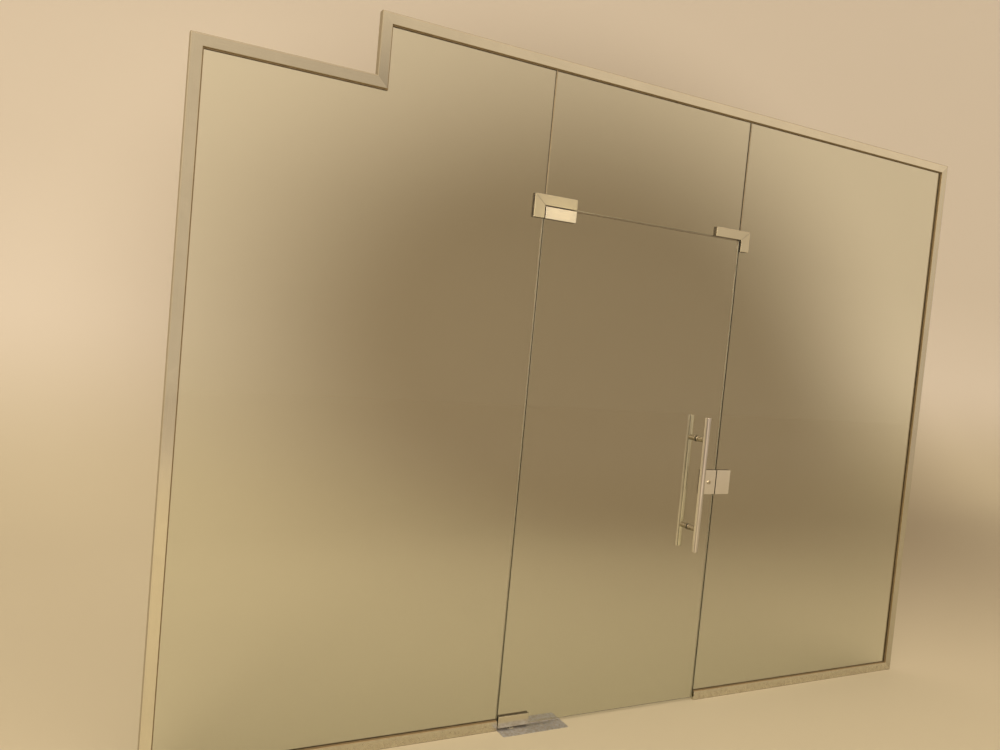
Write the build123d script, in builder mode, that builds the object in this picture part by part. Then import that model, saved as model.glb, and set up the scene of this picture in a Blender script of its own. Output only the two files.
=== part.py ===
from build123d import *
from math import atan2, degrees, hypot, sqrt
import os

os.makedirs("parts", exist_ok=True)

# All sizes are in millimetres. The origin is on the door's pivot axis, in the
# middle of the glass, at the finished floor. X runs along the screen from the
# hinge side to the lock side, Y runs into the room, Z is up.

# Glass
glass = 12
pane_joint = 5
glass_bite = 12
edge_arris = 0.8
notch_corner_radius = 10

# Door leaf
leaf_width = 1015
leaf_height = 2100
floor_gap = 10
pivot_inset = 65

# Fixed screen
left_bay_width = 1300
right_bay_width = 1320
lower_head_length = 619
upper_head_height = 2642
head_step = 224

# Folded frame section
frame_face = 40
frame_depth = 30
frame_sheet = 1.5
fold_radius = 2
groove_width = 16
groove_depth = 20
seal_reach = 10
seal_proud = 4
end_plate = 1.5
setting_block_length = 100
setting_block_side_gap = 1

# Clamp fittings
pad = 1
jaw_thickness = 6.5
cover_sheet = 1.5
cover_gap = 0.3
cover_corner_radius = 1
patch_length = 142
patch_height = 46
patch_notch_length = 95
patch_notch_height = 30
notch_gap = 2
arm_height = 41
arm_reach = 147
leg_width = 48
leg_drop = 51
corner_notch_height = 27
cover_joint = 1
screw_radius = 3
screw_head_radius = 5.8
screw_hole_gap = 0.2
screw_inset = 20
core_screw_inset = 14
glass_hole_radius = 7
screw_socket_radius = 2
screw_socket_depth = 2.5

# Pivots
running_fit = 0.1
pin_radius = 5.5
pin_depth = 20
pin_hold = 20
pin_tip_chamfer = 1
bush_wall = 3
bush_length = 23
spindle_radius = 11
spindle_root = 35
spindle_shoulder_gap = 3
spindle_blade_length = 18
spindle_blade_width = 10
spindle_blade_rise = 24

# Floor spring
plate_length = 306
plate_width = 140
plate_thickness = 2
plate_proud = 1.5
plate_start = 66
plate_corner_radius = 6
plate_hole_radius = 17
plate_screw_inset = 12
plate_screw_radius = 2.5
plate_screw_head_radius = 4.3
plate_screw_length = 10
box_inset = 5
box_depth = 55
box_sheet = 1.5
box_tab_length = 16
box_tab_width = 40
spring_body_width = 82
spring_body_length = 262
spring_body_height = 40
spring_body_start = 44
spring_body_radius = 14
spring_lid_inset = 7
spring_lid = 4
spring_boss_radius = 22
spring_boss_height = 4
spring_lug_width = 12
spring_lug_length = 24
spring_lug_thickness = 8
spring_lug_hole_radius = 3.5
spring_lug_inset = 40

# Lock and strike box
lock_width = 80
lock_height = 110
lock_centre_height = 1016
lock_cover_sheet = 2
lock_cover_depth = 9
lock_case_length = 54
lock_case_height = 76
lock_case_gap = 0.2
bolt_height = 32
bolt_thickness = 10
bolt_length = 24
bolt_gap = 0.3
bolt_nose_radius = 2
strike_pocket_depth = 20
strike_pocket_gap = 1.5
cylinder_inset = 38
cylinder_radius = 10
cylinder_proud = 4
plug_radius = 6.5
plug_proud = 0.6
plug_gap = 1
keyway_width = 2
keyway_height = 8.5
keyway_depth = 5
turn_proud = 14
turn_length = 27
turn_thickness = 7

# Pull handle
handle_inset = 120
handle_centre_height = 1012
handle_length = 600
handle_post_spacing = 400
handle_standoff = 60
bar_radius = 14
bar_wall = 1.5
bar_cap = 3
bar_cap_plug = 12
bar_cap_radius = 1.2
post_radius = 12
post_flange_radius = 14
post_flange = 4
post_flange_edge = 0.8
saddle_gap = 0.1
washer = 1.5
washer_radius = 13
through_bolt_radius = 4
through_bolt_reach = 30
handle_hole_radius = 6.5

# Places that follow from the sizes
half_glass = glass / 2
leaf_hinge_edge = -pivot_inset
leaf_free_edge = leaf_hinge_edge + leaf_width
leaf_top = floor_gap + leaf_height
left_pane_edge = leaf_hinge_edge - pane_joint
right_pane_edge = leaf_free_edge + pane_joint
left_lip = left_pane_edge - left_bay_width
right_lip = right_pane_edge + right_bay_width
step_lip = left_lip + lower_head_length
lower_head_height = upper_head_height - head_step
sill_top = frame_face
over_pane_bottom = leaf_top + pane_joint
pane_foot = sill_top - glass_bite
groove_floor = sill_top - groove_depth
jaw_near = half_glass + pad
jaw_far = jaw_near + jaw_thickness
cover_far = jaw_far + cover_sheet
jaw_inset = cover_sheet + cover_gap
hole_radius = screw_radius + screw_hole_gap

# Mitre planes lean 45 degrees, one family each way
rising_right = (1, 0, 1)
rising_left = (-1, 0, 1)
upwards = (0, 0, 1)
downwards = (0, 0, -1)
to_lock_side = (1, 0, 0)
to_hinge_side = (-1, 0, 0)


def keep(piece, name):
    piece.part.label = name
    export_step(piece.part, f"parts/{name}.step")


def panel(x_from, x_to, z_from, z_to, mode=Mode.ADD):
    """Rectangle between two corners, given as X and Z of an upright sketch."""
    with Locations(((x_from + x_to) / 2, (z_from + z_to) / 2)):
        Rectangle(abs(x_to - x_from), abs(z_to - z_from), mode=mode)


def frame_section():
    """Folded section with its groove; local x runs from the lip to the wall side."""
    with BuildSketch() as section:
        with Locations((frame_face / 2, 0)):
            Rectangle(frame_face, frame_depth)
        fillet(section.vertices(), radius=fold_radius)
        with Locations((groove_depth / 2, 0)):
            Rectangle(groove_depth, groove_width, mode=Mode.SUBTRACT)
        offset(amount=-frame_sheet, kind=Kind.INTERSECTION, mode=Mode.SUBTRACT)
    return section.sketch


# Frame members, mitred where they meet
foot_left_mitre = Plane(origin=(left_lip, 0, sill_top), z_dir=rising_left)
lower_left_mitre = Plane(origin=(left_lip, 0, lower_head_height), z_dir=rising_right)
step_low_mitre = Plane(origin=(step_lip, 0, lower_head_height), z_dir=rising_right)
step_high_mitre = Plane(origin=(step_lip, 0, upper_head_height), z_dir=rising_right)
upper_right_mitre = Plane(origin=(right_lip, 0, upper_head_height), z_dir=rising_left)
foot_right_mitre = Plane(origin=(right_lip, 0, sill_top), z_dir=rising_right)

with BuildPart() as left_jamb:
    with BuildSketch(Plane(origin=(left_lip, 0, 0), x_dir=to_hinge_side, z_dir=upwards)):
        add(frame_section())
    extrude(amount=lower_head_height + frame_face)
    split(bisect_by=lower_left_mitre, keep=Keep.BOTTOM)
    split(bisect_by=foot_left_mitre, keep=Keep.TOP)
keep(left_jamb, "left_jamb")

lower_head_start = (left_lip - frame_face, 0, lower_head_height)
with BuildPart() as lower_head:
    with BuildSketch(Plane(origin=lower_head_start, x_dir=upwards, z_dir=to_lock_side)):
        add(frame_section())
    extrude(amount=lower_head_length + frame_face)
    split(bisect_by=lower_left_mitre, keep=Keep.TOP)
    split(bisect_by=step_low_mitre, keep=Keep.BOTTOM)
keep(lower_head, "lower_head")

with BuildPart() as head_return:
    with BuildSketch(Plane(origin=(step_lip, 0, lower_head_height), x_dir=to_hinge_side, z_dir=upwards)):
        add(frame_section())
    extrude(amount=upper_head_height + frame_face - lower_head_height)
    split(bisect_by=step_low_mitre, keep=Keep.TOP)
    split(bisect_by=step_high_mitre, keep=Keep.BOTTOM)
keep(head_return, "head_return")

upper_head_start = (step_lip - frame_face, 0, upper_head_height)
with BuildPart() as upper_head:
    with BuildSketch(Plane(origin=upper_head_start, x_dir=upwards, z_dir=to_lock_side)):
        add(frame_section())
    extrude(amount=right_lip - step_lip + 2 * frame_face)
    split(bisect_by=step_high_mitre, keep=Keep.TOP)
    split(bisect_by=upper_right_mitre, keep=Keep.TOP)
keep(upper_head, "upper_head")

with BuildPart() as right_jamb:
    with BuildSketch(Plane(origin=(right_lip, 0, 0), x_dir=to_lock_side, z_dir=upwards)):
        add(frame_section())
    extrude(amount=upper_head_height + frame_face)
    split(bisect_by=upper_right_mitre, keep=Keep.BOTTOM)
    split(bisect_by=foot_right_mitre, keep=Keep.TOP)
keep(right_jamb, "right_jamb")

left_sill_start = (left_pane_edge - end_plate, 0, sill_top)
with BuildPart() as left_sill:
    with BuildSketch(Plane(origin=left_sill_start, x_dir=downwards, z_dir=to_hinge_side)):
        add(frame_section())
    extrude(amount=left_bay_width + frame_face - end_plate)
    split(bisect_by=foot_left_mitre, keep=Keep.BOTTOM)
keep(left_sill, "left_sill")

right_sill_start = (right_pane_edge + end_plate, 0, sill_top)
with BuildPart() as right_sill:
    with BuildSketch(Plane(origin=right_sill_start, x_dir=downwards, z_dir=to_lock_side)):
        add(frame_section())
    extrude(amount=right_bay_width + frame_face - end_plate)
    split(bisect_by=foot_right_mitre, keep=Keep.BOTTOM)
keep(right_sill, "right_sill")

# Plates that close the sills at the doorway, slotted for the glass and its seals
with BuildPart() as sill_end_plates:
    for face_x, outward in ((left_pane_edge, to_hinge_side), (right_pane_edge, to_lock_side)):
        with BuildSketch(Plane(origin=(face_x, 0, sill_top), x_dir=downwards, z_dir=outward)) as plate_face:
            with Locations((frame_face / 2, 0)):
                Rectangle(frame_face, frame_depth)
            fillet(plate_face.vertices(), radius=fold_radius)
            with Locations((glass_bite / 2, 0)):
                Rectangle(glass_bite, groove_width, mode=Mode.SUBTRACT)
        extrude(amount=end_plate)
keep(sill_end_plates, "sill_end_plates")


def left_bay_outline(reach):
    """Left bay seen from outside; reach is how far it goes past the frame's lips."""
    with BuildSketch() as outline:
        with BuildLine():
            Polyline(
                (left_lip - reach, sill_top - reach),
                (left_pane_edge, sill_top - reach),
                (left_pane_edge, upper_head_height + reach),
                (step_lip - reach, upper_head_height + reach),
                (step_lip - reach, lower_head_height + reach),
                (left_lip - reach, lower_head_height + reach),
                close=True,
            )
        make_face()
    return outline.sketch


def right_bay_outline(reach):
    with BuildSketch() as outline:
        panel(right_pane_edge, right_lip + reach, sill_top - reach, upper_head_height + reach)
    return outline.sketch


def over_pane_outline(bottom, reach):
    with BuildSketch() as outline:
        panel(leaf_hinge_edge, leaf_free_edge, bottom, upper_head_height + reach)
    return outline.sketch


def arris_pane(pane):
    """Takes the sharp edges off both faces of a pane."""
    faces = pane.faces().sort_by(Axis.Y)
    chamfer(faces[0].outer_wire().edges() + faces[-1].outer_wire().edges(), length=edge_arris)


# Screw places in the fittings, as X and Z pairs
top_patch_middle = leaf_top - patch_height / 2
bottom_patch_middle = floor_gap + patch_height / 2
patch_core_screw = leaf_hinge_edge + core_screw_inset
patch_end_screw = leaf_hinge_edge + patch_length - screw_inset
top_patch_screws = [(patch_core_screw, top_patch_middle), (patch_end_screw, top_patch_middle)]
bottom_patch_screws = [(patch_core_screw, bottom_patch_middle), (patch_end_screw, bottom_patch_middle)]


def corner_screws(edge_x, way):
    """Two screws in the side pane and one in the pane over the door."""
    leg_x = edge_x - way * leg_width / 2
    arm_middle = over_pane_bottom + arm_height / 2
    return [
        (leg_x, over_pane_bottom - leg_drop / 2),
        (leg_x, arm_middle),
        (edge_x + way * (arm_reach - screw_inset), arm_middle),
    ]


hinge_corner_screws = corner_screws(left_pane_edge, 1)
lock_corner_screws = corner_screws(right_pane_edge, -1)
handle_x = leaf_free_edge - handle_inset
handle_bottom = handle_centre_height - handle_length / 2
handle_places = [
    (handle_x, handle_centre_height - handle_post_spacing / 2),
    (handle_x, handle_centre_height + handle_post_spacing / 2),
]
lock_case_setback = lock_cover_sheet + lock_case_gap
lock_notch_length = lock_case_setback + lock_case_length + notch_gap
lock_notch_bottom = lock_centre_height - lock_case_height / 2 - notch_gap
lock_notch_top = lock_centre_height + lock_case_height / 2 + notch_gap
patch_notch_end = leaf_hinge_edge + patch_notch_length
corner_notch_top = over_pane_bottom + corner_notch_height

# Fixed panes
with BuildPart() as left_pane:
    with BuildSketch(Plane.XZ) as left_pane_face:
        add(left_bay_outline(glass_bite))
        step_corner = left_pane_face.vertices().sort_by_distance((step_lip, lower_head_height))[0]
        fillet(step_corner, radius=notch_corner_radius)
    extrude(amount=half_glass, both=True)
    arris_pane(left_pane)
    with BuildSketch(Plane.XZ):
        with Locations(*hinge_corner_screws[:2]):
            Circle(glass_hole_radius)
    extrude(amount=half_glass, both=True, mode=Mode.SUBTRACT)
keep(left_pane, "left_pane")

with BuildPart() as right_pane:
    with BuildSketch(Plane.XZ):
        add(right_bay_outline(glass_bite))
        strike_notch_end = right_pane_edge + lock_notch_length
        panel(right_pane_edge, strike_notch_end, lock_notch_bottom, lock_notch_top, mode=Mode.SUBTRACT)
    extrude(amount=half_glass, both=True)
    arris_pane(right_pane)
    with BuildSketch(Plane.XZ):
        with Locations(*lock_corner_screws[:2]):
            Circle(glass_hole_radius)
    extrude(amount=half_glass, both=True, mode=Mode.SUBTRACT)
keep(right_pane, "right_pane")

with BuildPart() as over_pane:
    with BuildSketch(Plane.XZ):
        add(over_pane_outline(over_pane_bottom, glass_bite))
        for corner_x, way in ((leaf_hinge_edge, 1), (leaf_free_edge, -1)):
            notch_end = corner_x + way * patch_notch_length
            panel(corner_x, notch_end, over_pane_bottom, corner_notch_top, mode=Mode.SUBTRACT)
    extrude(amount=half_glass, both=True)
    arris_pane(over_pane)
    with BuildSketch(Plane.XZ):
        with Locations(hinge_corner_screws[2], lock_corner_screws[2]):
            Circle(glass_hole_radius)
    extrude(amount=half_glass, both=True, mode=Mode.SUBTRACT)
keep(over_pane, "over_pane")

# Door pane with notches for both patches and the lock
with BuildPart() as door_pane:
    with BuildSketch(Plane.XZ):
        panel(leaf_hinge_edge, leaf_free_edge, floor_gap, leaf_top)
        panel(leaf_hinge_edge, patch_notch_end, leaf_top - patch_notch_height, leaf_top, mode=Mode.SUBTRACT)
        panel(leaf_hinge_edge, patch_notch_end, floor_gap, floor_gap + patch_notch_height, mode=Mode.SUBTRACT)
        lock_notch_start = leaf_free_edge - lock_notch_length
        panel(lock_notch_start, leaf_free_edge, lock_notch_bottom, lock_notch_top, mode=Mode.SUBTRACT)
    extrude(amount=half_glass, both=True)
    arris_pane(door_pane)
    with BuildSketch(Plane.XZ):
        with Locations(top_patch_screws[1], bottom_patch_screws[1]):
            Circle(glass_hole_radius)
        with Locations(*handle_places):
            Circle(handle_hole_radius)
    extrude(amount=half_glass, both=True, mode=Mode.SUBTRACT)
keep(door_pane, "door_pane")


def seal_pair(outer_outline, inner_outline):
    """Strips that fill the groove beside the glass, one on each face of a pane."""
    with BuildPart() as seals:
        for start in (half_glass, -groove_width / 2):
            with BuildSketch(Plane.XZ.offset(start)):
                add(outer_outline)
                add(inner_outline, mode=Mode.SUBTRACT)
            extrude(amount=groove_width / 2 - half_glass)
    return seals


left_pane_seals = seal_pair(left_bay_outline(seal_reach), left_bay_outline(-seal_proud))
keep(left_pane_seals, "left_pane_seals")

right_pane_seals = seal_pair(right_bay_outline(seal_reach), right_bay_outline(-seal_proud))
keep(right_pane_seals, "right_pane_seals")

over_pane_seals = seal_pair(
    over_pane_outline(over_pane_bottom, seal_reach),
    over_pane_outline(over_pane_bottom, -seal_proud),
)
keep(over_pane_seals, "over_pane_seals")

# Silicone joints between the pane over the door and the side panes
with BuildPart() as silicone_joints:
    with BuildSketch(Plane.XZ):
        for joint_start in (left_pane_edge, leaf_free_edge):
            panel(joint_start, joint_start + pane_joint, over_pane_bottom, upper_head_height + glass_bite)
    extrude(amount=half_glass, both=True)
keep(silicone_joints, "silicone_joints")

# Setting blocks at the quarter points under each side pane
with BuildPart() as setting_blocks:
    block_height = pane_foot - groove_floor
    block_places = [
        (lip + (pane_edge - lip) * quarter, 0, groove_floor + block_height / 2)
        for lip, pane_edge in ((left_lip, left_pane_edge), (right_lip, right_pane_edge))
        for quarter in (0.25, 0.75)
    ]
    with Locations(*block_places):
        Box(setting_block_length, groove_width - setting_block_side_gap, block_height)
keep(setting_blocks, "setting_blocks")


def patch_outline(bottom, inset):
    with BuildSketch() as outline:
        far_end = leaf_hinge_edge + patch_length
        panel(leaf_hinge_edge + inset, far_end - inset, bottom + inset, bottom + patch_height - inset)
    return outline.sketch


def corner_outline(edge_x, way, inset):
    """Angle fitting: a leg on the side pane, an arm along the pane over the door."""
    leg_side = edge_x - way * (leg_width - inset)
    inner_side = edge_x - way * inset
    arm_end = edge_x + way * (arm_reach - inset)
    with BuildSketch() as outline:
        with BuildLine():
            Polyline(
                (leg_side, over_pane_bottom - leg_drop + inset),
                (inner_side, over_pane_bottom - leg_drop + inset),
                (inner_side, over_pane_bottom + inset),
                (arm_end, over_pane_bottom + inset),
                (arm_end, over_pane_bottom + arm_height - inset),
                (leg_side, over_pane_bottom + arm_height - inset),
                close=True,
            )
        make_face()
    return outline.sketch


def jaw_plate(outline, screws, side):
    """Clamping jaw; side is -1 outside and 1 inside. The outer jaw is countersunk."""
    with BuildPart() as jaw:
        with BuildSketch(Plane.XZ.offset(-side * jaw_near)):
            add(outline)
            with Locations(*screws):
                Circle(hole_radius, mode=Mode.SUBTRACT)
        extrude(amount=-side * jaw_thickness)
        if side < 0:
            rims = jaw.faces().sort_by(Axis.Y)[0].edges().filter_by(GeomType.CIRCLE)
            chamfer(rims, length=screw_head_radius - screw_radius)
    return jaw


def cover_shell(outline, cavity, side):
    """Folded cover that wraps a jaw and closes on the glass."""
    with BuildPart() as cover:
        with BuildSketch(Plane.XZ.offset(-side * half_glass)):
            add(outline)
        extrude(amount=-side * (cover_far - half_glass))
        front = cover.faces().sort_by(Axis.Y)[0 if side < 0 else -1]
        fillet(front.edges(), radius=cover_corner_radius)
        with BuildSketch(Plane.XZ.offset(-side * half_glass)):
            add(cavity)
        extrude(amount=-side * (jaw_far - half_glass), mode=Mode.SUBTRACT)
    return cover


def clamp_pad_pair(outline, holes):
    """Thin pads between the jaws and the glass."""
    with BuildPart() as pads:
        for start in (half_glass, -jaw_near):
            with BuildSketch(Plane.XZ.offset(start)):
                add(outline)
                with Locations(*holes):
                    Circle(hole_radius, mode=Mode.SUBTRACT)
            extrude(amount=pad)
    return pads


# Countersunk clamp screw, lying along Y with its head outside
with BuildPart() as clamp_screw:
    with BuildSketch(Plane.XY):
        with BuildLine():
            Polyline(
                (0, -jaw_far),
                (screw_head_radius, -jaw_far),
                (screw_radius, -jaw_far + screw_head_radius - screw_radius),
                (screw_radius, jaw_far),
                (0, jaw_far),
                close=True,
            )
        make_face()
    revolve(axis=Axis.Y)
    with BuildSketch(Plane.XZ.offset(jaw_far)):
        RegularPolygon(screw_socket_radius, 6)
    extrude(amount=-screw_socket_depth, mode=Mode.SUBTRACT)

# Pivot bore in the top patch
patch_core_end = patch_notch_end - notch_gap
top_core_top = leaf_top - jaw_inset
top_core_bottom = leaf_top - patch_notch_height + notch_gap
bush_radius = pin_radius + running_fit + bush_wall
with BuildPart() as bush_bore:
    with BuildSketch(Plane.XY.offset(top_core_top - bush_length)):
        Circle(bush_radius)
    extrude(amount=bush_length)

# Top patch fitting, whose core fills the notch and holds the pivot bush
top_jaw_outline = patch_outline(leaf_top - patch_height, jaw_inset)
with BuildPart() as top_patch_jaw_outer:
    add(jaw_plate(top_jaw_outline, top_patch_screws, -1).part)
    add(bush_bore.part, mode=Mode.SUBTRACT)
keep(top_patch_jaw_outer, "top_patch_jaw_outer")

with BuildPart() as top_patch_jaw_inner:
    add(jaw_plate(top_jaw_outline, top_patch_screws, 1).part)
    with BuildSketch(Plane.XZ):
        panel(leaf_hinge_edge + jaw_inset, patch_core_end, top_core_bottom, top_core_top)
        with Locations(top_patch_screws[0]):
            Circle(hole_radius, mode=Mode.SUBTRACT)
    extrude(amount=jaw_near, both=True)
    add(bush_bore.part, mode=Mode.SUBTRACT)
keep(top_patch_jaw_inner, "top_patch_jaw_inner")

top_cover_outline = patch_outline(leaf_top - patch_height, 0)
top_cover_cavity = patch_outline(leaf_top - patch_height, cover_sheet)
top_patch_cover_outer = cover_shell(top_cover_outline, top_cover_cavity, -1)
keep(top_patch_cover_outer, "top_patch_cover_outer")

top_patch_cover_inner = cover_shell(top_cover_outline, top_cover_cavity, 1)
keep(top_patch_cover_inner, "top_patch_cover_inner")

with BuildPart() as top_pivot_bush:
    with BuildSketch(Plane.XY.offset(top_core_top - bush_length)):
        Circle(bush_radius)
        Circle(pin_radius + running_fit, mode=Mode.SUBTRACT)
    extrude(amount=bush_length)
keep(top_pivot_bush, "top_pivot_bush")

# Bottom patch fitting, whose core takes the blade of the spindle
bottom_core_bottom = floor_gap + jaw_inset
bottom_core_top = floor_gap + patch_notch_height - notch_gap
bottom_jaw_outline = patch_outline(floor_gap, jaw_inset)
bottom_patch_jaw_outer = jaw_plate(bottom_jaw_outline, bottom_patch_screws, -1)
keep(bottom_patch_jaw_outer, "bottom_patch_jaw_outer")

with BuildPart() as bottom_patch_jaw_inner:
    add(jaw_plate(bottom_jaw_outline, bottom_patch_screws, 1).part)
    with BuildSketch(Plane.XZ):
        panel(leaf_hinge_edge + jaw_inset, patch_core_end, bottom_core_bottom, bottom_core_top)
        with Locations(bottom_patch_screws[0]):
            Circle(hole_radius, mode=Mode.SUBTRACT)
    extrude(amount=jaw_near, both=True)
    with BuildSketch(Plane.XY.offset(bottom_core_bottom)):
        Rectangle(spindle_blade_length + 2 * running_fit, spindle_blade_width + 2 * running_fit)
    extrude(amount=floor_gap + spindle_blade_rise + running_fit - bottom_core_bottom, mode=Mode.SUBTRACT)
keep(bottom_patch_jaw_inner, "bottom_patch_jaw_inner")

bottom_cover_outline = patch_outline(floor_gap, 0)
bottom_cover_cavity = patch_outline(floor_gap, cover_sheet)
bottom_patch_cover_outer = cover_shell(bottom_cover_outline, bottom_cover_cavity, -1)
keep(bottom_patch_cover_outer, "bottom_patch_cover_outer")

bottom_patch_cover_inner = cover_shell(bottom_cover_outline, bottom_cover_cavity, 1)
keep(bottom_patch_cover_inner, "bottom_patch_cover_inner")

with BuildPart() as door_clamp_pads:
    for jaw_outline, core_bottom, screws in (
        (top_jaw_outline, top_core_bottom, top_patch_screws),
        (bottom_jaw_outline, floor_gap, bottom_patch_screws),
    ):
        add(clamp_pad_pair(jaw_outline, screws).part)
        with BuildSketch(Plane.XZ):
            panel(leaf_hinge_edge, patch_core_end, core_bottom, core_bottom + patch_notch_height - notch_gap)
        extrude(amount=jaw_near, both=True, mode=Mode.SUBTRACT)
    add(bush_bore.part, mode=Mode.SUBTRACT)
keep(door_clamp_pads, "door_clamp_pads")

with BuildPart() as door_clamp_screws:
    with Locations(*[(x, 0, z) for x, z in top_patch_screws + bottom_patch_screws]):
        add(clamp_screw.part)
keep(door_clamp_screws, "door_clamp_screws")


# Angle fittings that join the pane over the door to the side panes
def corner_core(edge_x, way):
    """Core in the notch of the pane over the door, next to the side pane."""
    core_bottom = over_pane_bottom + jaw_inset
    near_end = edge_x + way * (pane_joint + notch_gap)
    far_end = edge_x + way * (pane_joint + patch_notch_length - notch_gap)
    with BuildPart() as core:
        with BuildSketch(Plane.XZ):
            panel(near_end, far_end, core_bottom, corner_notch_top - notch_gap)
        extrude(amount=jaw_near, both=True)
    return core


def corner_pads(edge_x, way, outline, screws):
    with BuildPart() as pads:
        add(clamp_pad_pair(outline, screws).part)
        add(corner_core(edge_x, way).part, mode=Mode.SUBTRACT)
    return pads


def corner_covers(edge_x, way, side):
    """Leg cover and arm cover, parted along the diagonal of the corner."""
    joint_angle = degrees(atan2(-arm_height, way * leg_width))
    joint_length = 2 * hypot(arm_height, leg_width)
    outline = corner_outline(edge_x, way, 0)
    cavity = corner_outline(edge_x, way, cover_sheet)
    with BuildPart() as covers:
        add(cover_shell(outline, cavity, side).part)
        with BuildSketch(Plane.XZ):
            with Locations((edge_x - way * leg_width / 2, over_pane_bottom + arm_height / 2)):
                Rectangle(joint_length, cover_joint, rotation=joint_angle)
        extrude(amount=cover_far, both=True, mode=Mode.SUBTRACT)
    return covers


hinge_jaw_outline = corner_outline(left_pane_edge, 1, jaw_inset)
lock_jaw_outline = corner_outline(right_pane_edge, -1, jaw_inset)

hinge_corner_jaw_outer = jaw_plate(hinge_jaw_outline, hinge_corner_screws, -1)
keep(hinge_corner_jaw_outer, "hinge_corner_jaw_outer")

with BuildPart() as hinge_corner_jaw_inner:
    add(jaw_plate(hinge_jaw_outline, hinge_corner_screws, 1).part)
    add(corner_core(left_pane_edge, 1).part)
    with BuildSketch(Plane.XY.offset(over_pane_bottom)):
        Circle(pin_radius + running_fit)
    extrude(amount=pin_hold, mode=Mode.SUBTRACT)
keep(hinge_corner_jaw_inner, "hinge_corner_jaw_inner")

hinge_corner_covers_outer = corner_covers(left_pane_edge, 1, -1)
keep(hinge_corner_covers_outer, "hinge_corner_covers_outer")

hinge_corner_covers_inner = corner_covers(left_pane_edge, 1, 1)
keep(hinge_corner_covers_inner, "hinge_corner_covers_inner")

lock_corner_jaw_outer = jaw_plate(lock_jaw_outline, lock_corner_screws, -1)
keep(lock_corner_jaw_outer, "lock_corner_jaw_outer")

with BuildPart() as lock_corner_jaw_inner:
    add(jaw_plate(lock_jaw_outline, lock_corner_screws, 1).part)
    add(corner_core(right_pane_edge, -1).part)
keep(lock_corner_jaw_inner, "lock_corner_jaw_inner")

lock_corner_covers_outer = corner_covers(right_pane_edge, -1, -1)
keep(lock_corner_covers_outer, "lock_corner_covers_outer")

lock_corner_covers_inner = corner_covers(right_pane_edge, -1, 1)
keep(lock_corner_covers_inner, "lock_corner_covers_inner")

with BuildPart() as corner_clamp_pads:
    add(corner_pads(left_pane_edge, 1, hinge_jaw_outline, hinge_corner_screws).part)
    add(corner_pads(right_pane_edge, -1, lock_jaw_outline, lock_corner_screws).part)
keep(corner_clamp_pads, "corner_clamp_pads")

with BuildPart() as corner_clamp_screws:
    with Locations(*[(x, 0, z) for x, z in hinge_corner_screws + lock_corner_screws]):
        add(clamp_screw.part)
keep(corner_clamp_screws, "corner_clamp_screws")

# Top pivot pin: held in the corner fitting, it drops into the bush
with BuildPart() as top_pivot_pin:
    with BuildSketch(Plane.XY.offset(top_core_top - pin_depth)):
        Circle(pin_radius)
    extrude(amount=over_pane_bottom + pin_hold - top_core_top + pin_depth)
    chamfer(top_pivot_pin.edges().sort_by(Axis.Z)[0], length=pin_tip_chamfer)
keep(top_pivot_pin, "top_pivot_pin")

# Spindle of the floor spring: a round root and a flat blade for the bottom patch
with BuildPart() as spindle:
    with BuildSketch(Plane.XY.offset(-spindle_root)):
        Circle(spindle_radius)
    extrude(amount=spindle_root + floor_gap - spindle_shoulder_gap)
    with BuildSketch(Plane.XY.offset(floor_gap - spindle_shoulder_gap)):
        Rectangle(spindle_blade_length, spindle_blade_width)
    extrude(amount=spindle_shoulder_gap + spindle_blade_rise)
keep(spindle, "spindle")

# Floor spring: cover plate, box and body
plate_bottom = plate_proud - plate_thickness
plate_left = -plate_start
plate_middle = plate_left + plate_length / 2
plate_screws = [
    (plate_left + plate_screw_inset, 0),
    (plate_left + plate_length - plate_screw_inset, 0),
]
with BuildPart() as floor_cover_plate:
    with BuildSketch(Plane.XY.offset(plate_bottom)):
        with Locations((plate_middle, 0)):
            RectangleRounded(plate_length, plate_width, plate_corner_radius)
        Circle(plate_hole_radius, mode=Mode.SUBTRACT)
        with Locations(*plate_screws):
            Circle(plate_screw_radius + screw_hole_gap, mode=Mode.SUBTRACT)
    extrude(amount=plate_thickness)
    top_circles = floor_cover_plate.faces().sort_by(Axis.Z)[-1].edges().filter_by(GeomType.CIRCLE)
    small_rims = top_circles.filter_by(lambda rim: rim.radius < plate_screw_head_radius and rim.is_closed)
    chamfer(small_rims, length=plate_screw_head_radius - plate_screw_radius)
keep(floor_cover_plate, "floor_cover_plate")

box_length = plate_length - 2 * box_inset
box_width = plate_width - 2 * box_inset
box_floor = plate_bottom - box_depth + box_sheet
with BuildPart() as floor_box:
    with BuildSketch(Plane.XY.offset(plate_bottom - box_depth)):
        with Locations((plate_middle, 0)):
            Rectangle(box_length, box_width)
    extrude(amount=box_depth)
    offset(amount=-box_sheet, openings=floor_box.faces().sort_by(Axis.Z)[-1])
    tab_offset = box_length / 2 - box_tab_length / 2
    with BuildSketch(Plane.XY.offset(plate_bottom)):
        with Locations((plate_middle - tab_offset, 0), (plate_middle + tab_offset, 0)):
            Rectangle(box_tab_length, box_tab_width)
        with Locations(*plate_screws):
            Circle(plate_screw_radius + screw_hole_gap, mode=Mode.SUBTRACT)
    extrude(amount=-box_sheet)
keep(floor_box, "floor_box")

with BuildPart() as plate_screw:
    with BuildSketch(Plane.XZ):
        with BuildLine():
            Polyline(
                (0, plate_proud),
                (plate_screw_head_radius, plate_proud),
                (plate_screw_radius, plate_proud - plate_screw_head_radius + plate_screw_radius),
                (plate_screw_radius, plate_proud - plate_screw_length),
                (0, plate_proud - plate_screw_length),
                close=True,
            )
        make_face()
    revolve(axis=Axis.Z)

with BuildPart() as cover_plate_screws:
    with Locations(*plate_screws):
        add(plate_screw.part)
keep(cover_plate_screws, "cover_plate_screws")

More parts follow.
